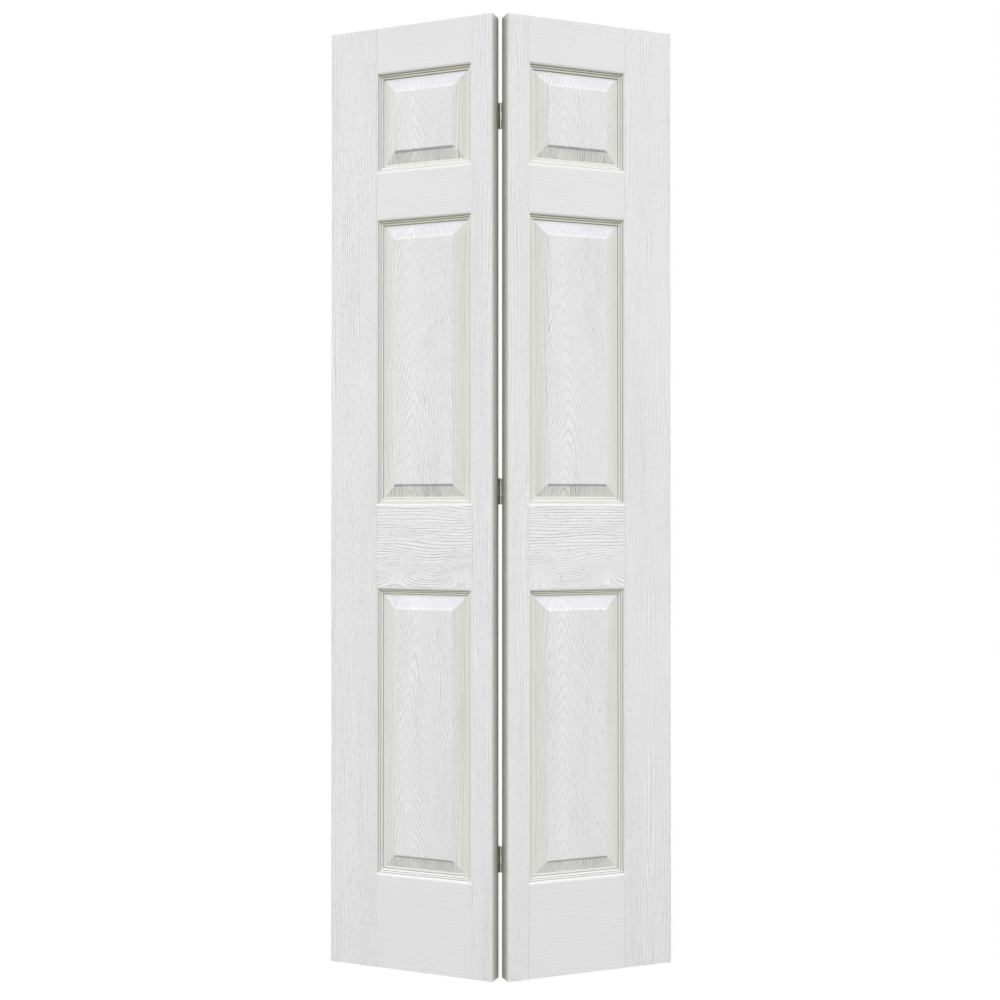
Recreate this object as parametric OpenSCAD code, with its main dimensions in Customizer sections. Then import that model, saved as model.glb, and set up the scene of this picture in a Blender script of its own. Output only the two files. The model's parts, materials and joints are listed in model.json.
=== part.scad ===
/* [Leaves] */
// Height of both leaves
door_h = 2007; // [1900:1:2400]
// Width of one leaf
leaf_w = 378; // [350:1:460]
// Thickness of one leaf
leaf_t = 35; // [34:0.5:45]
// Thickness of the pressed facings
skin_t = 3.2; // [2.8:0.1:3.6]
// Rounding of the long edges of a leaf
edge_ease = 1.5; // [0.5:0.1:2.5]

/* [Panel layout] */
// Flat face between the fold edge and the panels
fold_margin = 44; // [42:0.5:60]
// Flat face between the outer edge and the panels
outer_margin = 106; // [90:0.5:120]
// Flat face above the top panel
top_margin = 93; // [80:0.5:120]
// Height of the top panel with its moulding
top_panel_h = 220; // [180:0.5:260]
// Flat face between the top and middle panels
cross_margin = 94.5; // [80:0.5:120]
// Flat face between the middle and lower panels
lock_margin = 171; // [130:0.5:200]
// Height of the lower panel with its moulding
lower_panel_h = 617; // [500:0.5:680]
// Flat face below the lower panel
bottom_margin = 194.5; // [150:0.5:230]

/* [Moulding] */
// Depth of the groove round each raised panel
groove_depth = 11.1; // [10.9:0.1:11.6]
// Width of the stepped moulding from the face to the groove
sticking_w = 15.5; // [15.5:0.1:18]
// Radius of the nose where the face turns into the moulding
nose_r = 10.5; // [8:0.5:10.5]
// Width of the flat floor of the groove
groove_w = 5.5; // [4:0.5:7]
// Width of the bevel that rises from the groove
bevel_w = 22.3; // [18:0.1:24]
// Height that the bevel rises
bevel_rise = 7.2; // [6.4:0.1:7.3]
// Radius of the round shoulder at the edge of the raised field
shoulder_r = 2.5; // [1.5:0.1:2.6]

/* [Inner frame] */
// Width of the solid stile on the outer edge
outer_stile_w = 45; // [40:1:60]
// Height of the wooden rail along the top
top_rail_h = 60; // [40:1:70]
// Height of the wooden rail along the bottom
bottom_rail_h = 95; // [60:1:130]
// Width of the block behind the lock rail that takes a knob
knob_block_w = 95; // [70:1:110]
// Width across one cell of the honeycomb core
cell_w = 78; // [60:1:90]
// Thickness of the honeycomb's paper walls
cell_wall = 1; // [0.6:0.1:1.5]

/* [Hinges] */
// Height of one hinge
hinge_h = 54; // [48:1:70]
// Width of one hinge plate, from the pin to its outer edge
plate_w = 21; // [18:0.5:28]
// Thickness of the hinge plates
plate_t = 1.9; // [1.5:0.1:2.2]
// Radius of the hinge pin
pin_r = 1.75; // [1.5:0.05:2]
// Gap between the knuckles of one hinge
knuckle_gap = 0.4; // [0.2:0.1:0.8]
// Height of the top hinge's middle below the top edge
top_hinge_inset = 205; // [150:1:260]
// Height of the middle hinge above the bottom edge
middle_hinge_z = 1014; // [800:1:1200]
// Height of the bottom hinge above the bottom edge
bottom_hinge_z = 245; // [150:1:300]
// Length of a hinge screw
screw_len = 19; // [13:1:22]
// Radius of a hinge screw's shank
screw_r = 1.6; // [1.3:0.1:1.8]

/* [Fold] */
// Angle that the pair is folded at rest, 0 when flat and shut
rest_fold = 43; // [20:1:90]
// Gap between the two leaves when they are flat and shut
fold_gap = 3.4; // [3:0.2:5]

/* [Pivot bores] */
// Radius of the bores for the pivots and the track guide
pivot_r = 4.7625; // [3.9:0.1:6.4]
// Depth of the pivot bores
pivot_depth = 44; // [35:1:55]
// Distance from the outer edge to the middle of a bore
pivot_inset = 28; // [24:0.5:30]

/* [Hidden] */
// Facets round every circle, arc and bore
$fn = 16;

// Small clearances between pieces that fit each other
pin_fit = 0.05;
screw_fit = 0.05;
knuckle_lift = 0.8;
notch_fit = 0.6;
// Distance that the wood keeps from the hollow side of the moulding
wood_setback = 14;
core_setback = 4;
// Amount that a cutter runs past a face
past = 1;

// The moulding is drawn as [distance from the panel opening, depth below the face].
// A bend turns from slope a to slope b; a negative radius bends it hollow.
function bend(p, r, a, b, n) = [
    for (i = [0:n]) let (t = a + (b - a) * i / n)
        p + r * [sin(t) - sin(a), cos(a) - cos(t)]
];
function last(list) = list[len(list) - 1];
function flip(list) = [for (i = [len(list) - 1:-1:0]) list[i]];
function mirrored(list, width) = [for (p = flip(list)) [width - p[0], p[1]]];

// Falling side: rounded nose, then three steep steps with narrow flats between them
nose = bend([0, 0], nose_r, 0, 35, 4);
first_step = [last(nose) + [1.1, 3.2], last(nose) + [3.8, 3.3]];
second_step = bend(last(first_step) + [0.7, 1.45], -2.5, 64, 14, 2);
third_step = [last(second_step) + [2.95, 0.75], [sticking_w, groove_depth]];
sticking = concat(nose, first_step, second_step, third_step);

// Rising side, from the raised field outwards: round shoulder, short slope, hollow foot, bevel
crown = bend([0, 0], shoulder_r, 0, 45, 3);
shoulder = concat(crown, bend(last(crown) + [2.2, 2.2], -3, 45, 18, 2));
shoulder_w = last(shoulder)[0];
field_drop = groove_depth - bevel_rise - last(shoulder)[1];
bevel = concat([for (p = shoulder) p + [0, field_drop]], [[shoulder_w + bevel_w, groove_depth]]);
moulding_w = sticking_w + groove_w + bevel_w + shoulder_w;

// Hollow side of the facing, a wall thickness behind the moulding
sticking_back = [
    [-skin_t / 2, skin_t / 2],
    [-skin_t / 2, skin_t],
    [first_step[0][0], first_step[0][1] + skin_t],
    [sticking_w - 2, groove_depth + skin_t]
];

// Panels of one leaf as [lower edge, height]
opening_w = leaf_w - fold_margin - outer_margin;
lower_panel_z = bottom_margin;
middle_panel_z = lower_panel_z + lower_panel_h + lock_margin;
top_panel_z = door_h - top_margin - top_panel_h;
middle_panel_h = top_panel_z - cross_margin - middle_panel_z;
panels = [
    [lower_panel_z, lower_panel_h],
    [middle_panel_z, middle_panel_h],
    [top_panel_z, top_panel_h]
];

// Space between the facings, and the frame in it
inner_t = leaf_t - 2 * skin_t;
hinge_stile_w = fold_margin - wood_setback;
rail_w = leaf_w - outer_stile_w - hinge_stile_w;
lock_z = lower_panel_z + lower_panel_h;

// Hinge pin, seen from a leaf: beside its fold edge and behind its back face
barrel_r = pin_r + pin_fit + plate_t;
pin_back = barrel_r + knuckle_lift;
knuckle_h = (hinge_h - 2 * knuckle_gap) / 3;
notch_u = barrel_r + notch_fit;
hinge_zs = [door_h - top_hinge_inset, middle_hinge_z, bottom_hinge_z];
screw_u = (notch_u + plate_w) / 2 - fold_gap / 2;
screw_rise = hinge_h * 0.3;
screw_head_r = screw_r * 2;

// The pin's place keeps the folded pair centred on its footprint
lean = rest_fold / 2;
pin_y = ((leaf_t + 2 * pin_back) * cos(lean) - (leaf_w + fold_gap) * sin(lean)) / 2;

primer = [0.89, 0.89, 0.88];
pine = [0.80, 0.66, 0.46];
board = [0.72, 0.60, 0.44];
paper = [0.76, 0.65, 0.48];
steel = [0.62, 0.61, 0.59];

// Places a leaf: u runs from the fold edge outwards, v from the front face back
module on_right() {
    translate([0, pin_y, 0]) rotate([0, 0, lean])
        translate([fold_gap / 2, -leaf_t - pin_back, 0]) children();
}
module on_left() {
    mirror([1, 0, 0]) on_right() children();
}

// Box of a leaf from [u, v, z] with [width, depth, height]
module block(at, size) {
    translate(at) cube(size);
}

// Air in front of a panel opening, down to the groove
module recess_outline(width) {
    polygon(concat([[0, -past]], sticking, mirrored(sticking, width), [[width, -past]]));
}
// Raised panel that stands in the recess, or with a depth behind it the hollow at its back
module rising_outline(width, behind) {
    rise = [for (p = flip(bevel)) [moulding_w - p[0], p[1] + behind]];
    foot = groove_depth + behind + past;
    polygon(concat([[rise[0][0], foot]], rise, mirrored(rise, width), [[width - rise[0][0], foot]]));
}
// Back of the facing round the opening
module tray_outline(width) {
    polygon(concat(sticking_back, mirrored(sticking_back, width)));
}

// Where an upright profile (first child) and a level one (second child) cross, their corners are mitred
module crossed(width, height) {
    reach = skin_t;
    intersection() {
        translate([0, 0, -reach]) linear_extrude(height + 2 * reach) children(0);
        translate([width + reach, 0, 0]) rotate([0, -90, 0]) linear_extrude(width + 2 * reach) children(1);
    }
}
module tray(height) {
    crossed(opening_w, height) {
        tray_outline(opening_w);
        tray_outline(height);
    }
}
module recess(height) {
    crossed(opening_w, height) {
        recess_outline(opening_w);
        recess_outline(height);
    }
}
module raised_panel(height) {
    crossed(opening_w, height) {
        rising_outline(opening_w, 0);
        rising_outline(height, 0);
    }
}
module relief(height) {
    crossed(opening_w, height) {
        rising_outline(opening_w, skin_t);
        rising_outline(height, skin_t);
    }
}

// Flat sheet of a facing, eased along both long edges
module sheet_outline() {
    difference() {
        square([leaf_w, skin_t]);
        for (side = [0, 1]) translate([side * leaf_w, 0]) mirror([side, 0]) difference() {
            translate([-past, -past]) square([past + edge_ease, past + edge_ease]);
            translate([edge_ease, edge_ease]) circle(edge_ease);
        }
    }
}

// Pressed facing with its raised panels, front face towards v = 0
module facing() {
    difference() {
        union() {
            linear_extrude(door_h) sheet_outline();
            for (panel = panels) translate([fold_margin, 0, panel[0]]) tray(panel[1]);
        }
        for (panel = panels) translate([fold_margin, 0, panel[0]]) {
            difference() {
                recess(panel[1]);
                raised_panel(panel[1]);
            }
            relief(panel[1]);
        }
    }
}
module front_skin() {
    color(primer) facing();
}
module back_skin() {
    color(primer) difference() {
        translate([0, leaf_t, 0]) mirror([0, 1, 0]) facing();
        screw_holes();
    }
}

// Stiles and rails between the facings
module outer_stile() {
    color(pine) difference() {
        block([leaf_w - outer_stile_w, skin_t, 0], [outer_stile_w, inner_t, door_h]);
        for (z = [-past, door_h - pivot_depth])
            translate([leaf_w - pivot_inset, leaf_t / 2, z]) cylinder(r = pivot_r, h = pivot_depth + past);
    }
}
module hinge_stile() {
    color(pine) difference() {
        block([0, skin_t, 0], [hinge_stile_w, inner_t, door_h]);
        screw_holes();
    }
}
module top_rail() {
    color(pine) block([hinge_stile_w, skin_t, door_h - top_rail_h], [rail_w, inner_t, top_rail_h]);
}
module bottom_rail() {
    color(pine) block([hinge_stile_w, skin_t, 0], [rail_w, inner_t, bottom_rail_h]);
}
module knob_block() {
    color(board) block(
        [hinge_stile_w, skin_t, lock_z + wood_setback],
        [knob_block_w, inner_t, lock_margin - 2 * wood_setback]
    );
}

// One honeycomb strip: staggered rows of six-sided cells, cut off at its edges to half cells
function within(p, low, high) = [for (i = [0, 1]) min(max(p[i], low), high[i])];
function cell(at, size, high) = [
    for (k = [[0, -2], [1, -1], [1, 1], [0, 2], [-1, 1], [-1, -1]])
        within(at + [k[0] * size[0] / 2, k[1] * size[1] / 4], cell_wall, high)
];
module honeycomb(width, height) {
    columns = max(1, round(width / cell_w));
    rows = max(1, round(height / cell_w / cos(30)));
    pitch = [width / columns, height / rows];
    hole = [pitch[0] - cell_wall, pitch[1] * 4 / 3 - cell_wall / cos(30)];
    high = [width - cell_wall, height - cell_wall];
    cells = [
        for (row = [0:rows], col = [0:columns - 1 + row % 2])
            cell([(col + (1 - row % 2) / 2) * pitch[0], row * pitch[1]], hole, high)
    ];
    edge = [[0, 0], [width, 0], [width, height], [0, height]];
    polygon(
        concat(edge, [for (c = cells, p = c) p]),
        concat([[0, 1, 2, 3]], [for (i = [0:len(cells) - 1]) [for (k = [0:5]) 4 + 6 * i + k]])
    );
}
module core_strip(u, z, width, height, depth) {
    translate([u, (leaf_t + depth) / 2, z]) rotate([90, 0, 0]) linear_extrude(depth) honeycomb(width, height);
}
module core() {
    field_t = leaf_t - 2 * (field_drop + skin_t);
    inner_end = leaf_w - outer_margin + core_setback;
    column_w = leaf_w - outer_stile_w - inner_end;
    flat_w = inner_end - hinge_stile_w;
    foot_z = bottom_rail_h;
    color(paper) {
        core_strip(inner_end, foot_z, column_w, door_h - top_rail_h - foot_z, inner_t);
        core_strip(hinge_stile_w, foot_z, flat_w, bottom_margin - core_setback - foot_z, inner_t);
        core_strip(
            hinge_stile_w + knob_block_w, lock_z + core_setback,
            flat_w - knob_block_w, lock_margin - 2 * core_setback, inner_t
        );
        core_strip(
            hinge_stile_w, top_panel_z - cross_margin + core_setback,
            flat_w, cross_margin - 2 * core_setback, inner_t
        );
        for (panel = panels) core_strip(
            fold_margin + moulding_w, panel[0] + moulding_w,
            opening_w - 2 * moulding_w, panel[1] - 2 * moulding_w, field_t
        );
    }
}

// Hinge screws enter the back face square, two to each plate
module at_screws() {
    for (z = hinge_zs, side = [-1, 1])
        translate([screw_u, leaf_t, z + side * screw_rise]) rotate([90, 0, 0]) children();
}
module screw_holes() {
    at_screws() translate([0, 0, -past]) cylinder(r = screw_r + screw_fit, h = screw_len + past);
}
module screws() {
    tip_h = screw_r * 2;
    slot_w = screw_r * 0.45;
    slot_l = screw_r * 2.2;
    color(steel) at_screws() difference() {
        union() {
            translate([0, 0, -plate_t]) cylinder(r1 = screw_head_r, r2 = screw_r, h = plate_t);
            cylinder(r = screw_r, h = screw_len - plate_t - tip_h);
            translate([0, 0, screw_len - plate_t - tip_h])
                cylinder(r1 = screw_r, r2 = screw_r / 5, h = tip_h);
        }
        for (turn = [0, 90]) rotate([0, 0, turn])
            translate([-slot_l / 2, -slot_w / 2, -plate_t - past]) cube([slot_l, slot_w, past + plate_t * 0.6]);
    }
}

// Round parts of a hinge stand on the pin's axis
module at_pin(z) {
    translate([-fold_gap / 2, leaf_t + pin_back, z]) children();
}

// Half a hinge: a plate on the back face and the knuckles rolled from it
module hinge_plate(z, knuckles) {
    corner_r = 3;
    start_u = notch_u - fold_gap / 2;
    end_u = plate_w - fold_gap / 2;
    low = z - hinge_h / 2;
    color(steel) difference() {
        union() {
            translate([0, leaf_t + plate_t, low]) rotate([90, 0, 0]) linear_extrude(plate_t) union() {
                translate([start_u, 0]) square([end_u - corner_r - start_u, hinge_h]);
                translate([start_u, corner_r]) square([end_u - start_u, hinge_h - 2 * corner_r]);
                for (y = [corner_r, hinge_h - corner_r]) translate([end_u - corner_r, y]) circle(corner_r);
            }
            for (k = knuckles) {
                base = low + k * (knuckle_h + knuckle_gap);
                at_pin(base) cylinder(r = barrel_r, h = knuckle_h);
                translate([0, 0, base]) linear_extrude(knuckle_h) roll_outline(start_u);
            }
        }
        at_pin(low - past) cylinder(r = pin_r + pin_fit, h = hinge_h + 2 * past);
        at_screws() translate([0, 0, -plate_t])
            cylinder(r1 = screw_head_r + screw_fit, r2 = screw_r + screw_fit, h = plate_t);
    }
}
// Section of the sheet between the plate and its knuckle, which lifts off the back face
module roll_outline(start_u) {
    pin_u = -fold_gap / 2;
    polygon([
        [start_u + 2, leaf_t], [start_u + 2, leaf_t + plate_t], [start_u, leaf_t + plate_t],
        [pin_u, leaf_t + knuckle_lift + plate_t], [pin_u, leaf_t + knuckle_lift], [start_u, leaf_t]
    ]);
}

// Pin with a button head on top and a staked end below
module hinge_pin(z) {
    button_h = 1.2;
    stake_h = 0.8;
    color(steel) on_left() {
        at_pin(z - hinge_h / 2) cylinder(r = pin_r, h = hinge_h);
        at_pin(z + hinge_h / 2) cylinder(r1 = pin_r + 1, r2 = pin_r + 0.5, h = button_h);
        at_pin(z - hinge_h / 2 - stake_h) cylinder(r1 = pin_r, r2 = pin_r + 0.6, h = stake_h);
    }
}

on_left() front_skin();  // left_front_skin
on_left() back_skin();  // left_back_skin
on_left() outer_stile();  // left_outer_stile
on_left() hinge_stile();  // left_hinge_stile
on_left() top_rail();  // left_top_rail
on_left() bottom_rail();  // left_bottom_rail
on_left() knob_block();  // left_knob_block
on_left() core();  // left_core
on_right() front_skin();  // right_front_skin
on_right() back_skin();  // right_back_skin
on_right() outer_stile();  // right_outer_stile
on_right() hinge_stile();  // right_hinge_stile
on_right() top_rail();  // right_top_rail
on_right() bottom_rail();  // right_bottom_rail
on_right() knob_block();  // right_knob_block
on_right() core();  // right_core
on_left() hinge_plate(hinge_zs[0], [0, 2]);  // top_hinge_left_plate
on_right() hinge_plate(hinge_zs[0], [1]);  // top_hinge_right_plate
hinge_pin(hinge_zs[0]);  // top_hinge_pin
on_left() hinge_plate(hinge_zs[1], [0, 2]);  // middle_hinge_left_plate
on_right() hinge_plate(hinge_zs[1], [1]);  // middle_hinge_right_plate
hinge_pin(hinge_zs[1]);  // middle_hinge_pin
on_left() hinge_plate(hinge_zs[2], [0, 2]);  // bottom_hinge_left_plate
on_right() hinge_plate(hinge_zs[2], [1]);  // bottom_hinge_right_plate
hinge_pin(hinge_zs[2]);  // bottom_hinge_pin
on_left() screws();  // left_hinge_screws
on_right() screws();  // right_hinge_screws
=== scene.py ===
# %% [markdown]
# # A folding closet door pair
# Two narrow leaves stand part-folded on three small hinges. Each leaf is a hollow door: thin
# pressed facings on a wooden frame, primed white, with a wood grain pressed into the board. The
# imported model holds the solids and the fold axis, so it is loaded first, and every size below is
# measured from it or is a named value in metres.

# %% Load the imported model
import json
import math

import bmesh
import bpy
from mathutils import Matrix, Vector


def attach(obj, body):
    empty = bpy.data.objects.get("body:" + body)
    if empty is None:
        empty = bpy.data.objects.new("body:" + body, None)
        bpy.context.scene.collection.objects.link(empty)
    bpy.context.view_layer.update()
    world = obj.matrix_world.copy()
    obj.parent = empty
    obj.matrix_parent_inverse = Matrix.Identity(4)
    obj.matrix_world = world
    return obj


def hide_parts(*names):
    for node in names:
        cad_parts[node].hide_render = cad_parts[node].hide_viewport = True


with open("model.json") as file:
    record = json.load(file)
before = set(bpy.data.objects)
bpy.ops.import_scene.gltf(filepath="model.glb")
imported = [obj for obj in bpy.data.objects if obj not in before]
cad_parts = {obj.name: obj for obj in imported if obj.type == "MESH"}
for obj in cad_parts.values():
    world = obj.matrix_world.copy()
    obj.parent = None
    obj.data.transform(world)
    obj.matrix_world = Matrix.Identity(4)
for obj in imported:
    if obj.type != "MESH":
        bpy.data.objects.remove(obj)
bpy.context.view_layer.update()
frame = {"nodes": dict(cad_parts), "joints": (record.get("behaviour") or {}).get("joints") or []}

print("pieces in the frame:", len(frame["nodes"]))

# %% [markdown]
# ## Where a leaf stands
# A door is easiest to describe as it lies on a bench: so far from the fold edge, so deep behind the
# front face, so high. The fold's own limits say how far each leaf is turned, because the lower
# limit is the pair pulled flat. Turning a facing's points back by that angle gives the leaf's width
# and thickness with no number copied by hand.

# %% Measure the leaf
fold = frame["joints"][0]
pin = Vector(fold["pos_m"]) * Vector((1, 1, 0))
lean = math.radians(-fold["range_deg"][0]) / 2


def turned_flat(node):
    """Points of a right-hand piece, turned about the pin until the leaf is square to the viewer."""
    turn = Matrix.Rotation(-lean, 3, "Z")
    return [turn @ (vertex.co - pin) for vertex in frame["nodes"][node].data.vertices]


front_points = turned_flat("right_front_skin")
back_points = turned_flat("right_back_skin")
edge_u = min(point.x for point in front_points)
front_v = min(point.y for point in front_points)
leaf_w = max(point.x for point in front_points) - edge_u
leaf_t = max(point.y for point in back_points) - front_v
door_h = max(point.z for point in front_points)
print(f"leaf {leaf_w:.4f} x {leaf_t:.4f} x {door_h:.4f} m, turned {math.degrees(lean):.2f} degrees")

# %% Place a point of a leaf
SIDES = {"left": -1, "right": 1}


def on_leaf(side, u, v, z):
    """The place of a point u from the fold edge, v behind the front face and z up."""
    point = pin + Matrix.Rotation(lean, 3, "Z") @ Vector((u + edge_u, v + front_v, 0))
    return Vector((SIDES[side] * point.x, point.y, z))


print("fold corners:", on_leaf("left", 0, 0, 0), on_leaf("right", 0, 0, 0))

# %% [markdown]
# ## The camera
# The lines of both leaves run towards two vanishing points, and they fix the lens and the camera's
# place: three metres in front of the pair, just under its middle, almost level. The lens is a
# little longer than a standard one.

# %% Set the camera
LENS = 52.27e-3
SENSOR = 36e-3
CAMERA_FROM_PIN = Vector((0.0336, -3.0418, 0.9708))
CAMERA_YAW = math.radians(0.644)
CAMERA_PITCH = math.radians(0.473)

camera_data = bpy.data.cameras.new("camera")
camera_data.lens = LENS * 1000
camera_data.sensor_width = SENSOR * 1000
camera_data.clip_start = 0.05
camera = bpy.data.objects.new("camera", camera_data)
camera.location = pin + CAMERA_FROM_PIN
camera.rotation_euler = (math.radians(90) + CAMERA_PITCH, 0, CAMERA_YAW)
bpy.context.scene.collection.objects.link(camera)
bpy.context.scene.camera = camera
print("camera at", camera.location)

# %% [markdown]
# ## The pressed moulding
# Seen in section, the facing falls from its flat face over a rounded nose and three steep steps
# into a groove, then rises by a plain bevel and a round shoulder to the raised field. Each step
# shows as a dark line above a panel and a bright one below it. Drawing that section once, as a path
# of [distance, depth], lets every panel use it. Arcs are worked out from slopes, and the corners
# are softened, because a press tool and a coat of primer leave none sharp.

# %% Draw the moulding's section
MM = 0.001
# An arc is its radius, its slope at both ends in degrees, and its number of points.
NOSE = (10.5 * MM, 0, 35, 8)
FIRST_STEP = [(1.1 * MM, 3.2 * MM), (2.7 * MM, 0.1 * MM)]
SECOND_STEP = (0.7 * MM, 1.45 * MM)
HOLLOW = (-2.5 * MM, 64, 14, 5)
THIRD_STEP = [(2.95 * MM, 0.75 * MM), (0.386 * MM, 2.371 * MM)]
GROOVE_FLAT = (5.5 * MM, 0)
BEVEL = (22.3 * MM, -7.2 * MM)
FOOT = (-3 * MM, -18, -45, 4)
SHOULDER = (2.2 * MM, -2.2 * MM)
CROWN = (2.5 * MM, -45, 0, 5)


def arc(path, radius, start, end, points):
    """Adds an arc that turns from one slope to another. A negative radius bends it hollow."""
    x, y = path[-1]
    a, b = math.radians(start), math.radians(end)
    for i in range(1, points + 1):
        t = a + (b - a) * i / points
        forward = radius * (math.sin(t) - math.sin(a))
        path.append((x + forward, y + radius * (math.cos(a) - math.cos(t))))


def step(path, *moves):
    """Adds straight stretches."""
    for dx, dy in moves:
        path.append((path[-1][0] + dx, path[-1][1] + dy))


section = [(0.0, 0.0)]
arc(section, *NOSE)
step(section, *FIRST_STEP, SECOND_STEP)
arc(section, *HOLLOW)
step(section, *THIRD_STEP, GROOVE_FLAT, BEVEL)
arc(section, *FOOT)
step(section, SHOULDER)
arc(section, *CROWN)
moulding_w, field_drop = section[-1]
print(f"moulding {moulding_w / MM:.2f} mm wide, field {field_drop / MM:.2f} mm below the face")

# %% Soften its corners
SOFT_REACH = 0.4 * MM
LONGEST_SHARE = 0.45
SHARP_TURN = math.radians(7)


def softened(path, reach, rounds=3):
    """The same path with each sharp corner replaced by a short curve."""
    made = [path[0]]
    for before, corner, after in zip(path, path[1:], path[2:]):
        into, out = Vector(corner) - Vector(before), Vector(after) - Vector(corner)
        if into.angle(out) < SHARP_TURN:
            made.append(corner)
            continue
        start = Vector(corner) - into * min(LONGEST_SHARE, reach / into.length)
        end = Vector(corner) + out * min(LONGEST_SHARE, reach / out.length)
        for i in range(rounds + 1):
            t = i / rounds
            bend = Vector(corner) * 2 * t * (1 - t)
            made.append(tuple(start * (1 - t) ** 2 + bend + end * t * t))
    return made + [path[-1]]


FIELD_REACH = 3 * MM
front_path = softened(section + [(moulding_w + FIELD_REACH, field_drop)], SOFT_REACH)
print("points across one moulding:", len(front_path))

# %% [markdown]
# ## The facings
# A facing is a 3.2 mm board pressed to that section round three openings. Each opening is built as
# nested rectangles: one loop of four points for every point of the section, joined by strips. The
# corners then mitre by themselves, as they do in the press tool, and only the mitre lines are
# marked sharp. The back of the board is modelled too, so the piece is a closed shell as the real
# one is.

# %% Panel layout
SKIN_T = 3.2 * MM
EDGE_EASE = 1.5 * MM
OPENING_U = (44 * MM, leaf_w - 106 * MM)
PANELS = [(194.5 * MM, 811.5 * MM), (982.5 * MM, 1599.5 * MM), (1694 * MM, 1914 * MM)]
HOLLOW_PATH = [
    (0, 0), (7.1 * MM, 5.1 * MM), (13.5 * MM, 11.1 * MM), (21 * MM, 11.1 * MM),
    (43.3 * MM, 3.9 * MM), (moulding_w, field_drop),
]
EASE_STEPS = 6
print("openings from", OPENING_U, "and between", PANELS)

# %% Build one facing
PRIMED, RAW = 0, 1


def eased_columns():
    """(u, depth) of the columns of points across a facing, with both long edges rounded."""
    turns = [math.pi / 2 * i / EASE_STEPS for i in range(EASE_STEPS + 1)]
    near = [(EDGE_EASE * (1 - math.cos(t)), EDGE_EASE * (1 - math.sin(t))) for t in turns]
    far = [(leaf_w - u, depth) for u, depth in reversed(near)]
    return near + [(u, 0) for u in OPENING_U] + far


def sheet(shell, point, columns, material):
    """A flat sheet of quads that leaves the openings out. Returns its rows and their corners."""
    levels = [0.0] + [z for panel in PANELS for z in panel] + [door_h]
    rows = [[point(u, depth, z) for u, depth in columns] for z in levels]
    at = [round(u, 6) for u, _ in columns].index(round(OPENING_U[0], 6))
    corners = []
    for r, (low, high) in enumerate(zip(rows, rows[1:])):
        for c in range(len(columns) - 1):
            quad = (low[c], low[c + 1], high[c + 1], high[c])
            if c == at and r % 2:
                corners.append(quad)
            else:
                shell.faces.new(quad).material_index = material
    return rows, corners


def nest(shell, point, corners, panel, path, material):
    """Strips that step inwards and down from an opening's corners, and the field inside."""
    loop = corners
    for distance, depth in path:
        u0, u1 = OPENING_U[0] + distance, OPENING_U[1] - distance
        z0, z1 = panel[0] + distance, panel[1] - distance
        inner = [point(u, depth, z) for u, z in ((u0, z0), (u1, z0), (u1, z1), (u0, z1))]
        for i in range(4):
            j = (i + 1) % 4
            strip = shell.faces.new((loop[i], loop[j], inner[j], inner[i]))
            strip.material_index = material
            strip.smooth = True
            shell.edges.get((loop[i], inner[i])).smooth = False
        loop = inner
    shell.faces.new(loop).material_index = material


# %% Close it into a shell
CREASE = math.radians(40)


def facing(side, face):
    """One pressed facing of a leaf, front or back."""
    shell = bmesh.new()

    def point(u, depth, z):
        return shell.verts.new(on_leaf(side, u, leaf_t - depth if face == "back" else depth, z))

    rows, openings = sheet(shell, point, eased_columns(), PRIMED)
    hidden = [(u, SKIN_T) for u in (0, *OPENING_U, leaf_w)]
    hidden_rows, hollows = sheet(shell, point, hidden, RAW)
    for panel, opening, hollow in zip(PANELS, openings, hollows):
        nest(shell, point, opening, panel, front_path[1:], PRIMED)
        behind = [(distance, depth + SKIN_T) for distance, depth in HOLLOW_PATH[1:]]
        nest(shell, point, hollow, panel, behind, RAW)
    for end in (0, -1):
        for low, high, near, far in zip(rows, rows[1:], hidden_rows, hidden_rows[1:]):
            shell.faces.new((low[end], high[end], far[end], near[end])).material_index = PRIMED
        shell.faces.new(rows[end] + hidden_rows[end][::-1]).material_index = RAW
    bmesh.ops.recalc_face_normals(shell, faces=shell.faces)
    for part in shell.faces:
        part.smooth = True
    for edge in shell.edges:
        if edge.calc_face_angle(0) > CREASE:
            edge.smooth = False
    data = bpy.data.meshes.new(f"{side}_{face}_facing")
    shell.to_mesh(data)
    shell.free()
    piece = bpy.data.objects.new(data.name, data)
    bpy.context.scene.collection.objects.link(piece)
    weighted = piece.modifiers.new("even_normals", "WEIGHTED_NORMAL")
    weighted.keep_sharp = True
    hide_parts(f"{side}_{face}_skin")
    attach(piece, f"{side}_leaf")
    return piece


facings = [facing(side, face) for side in SIDES for face in ("front", "back")]
print("faces in one facing:", len(facings[0].data.polygons))

# %% [markdown]
# ## Wiring shader nodes
# The finishes below are made of many small nodes, and placing them by hand would take pages. A few
# helpers keep the wiring short: one adds a node and feeds its sockets, and others start a node
# group with named sockets or place it, so that one effect can serve several materials. The rest are
# everyday sums, so that a finish reads like a formula.

# %% Node helpers
def feed(tree, socket, value):
    """Links a socket to another one, or sets it to a value."""
    if isinstance(value, bpy.types.NodeSocket):
        tree.links.new(value, socket)
    else:
        socket.default_value = value


def wire(tree, kind, *fed, named=None, **settings):
    """Adds a node, feeds its inputs in order or by name, and returns its first output."""
    node = tree.nodes.new(kind)
    for name, value in settings.items():
        setattr(node, name, value)
    for socket, value in zip(node.inputs, fed):
        feed(tree, socket, value)
    for name, value in (named or {}).items():
        feed(tree, node.inputs[name], value)
    return node.outputs[0]


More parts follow.
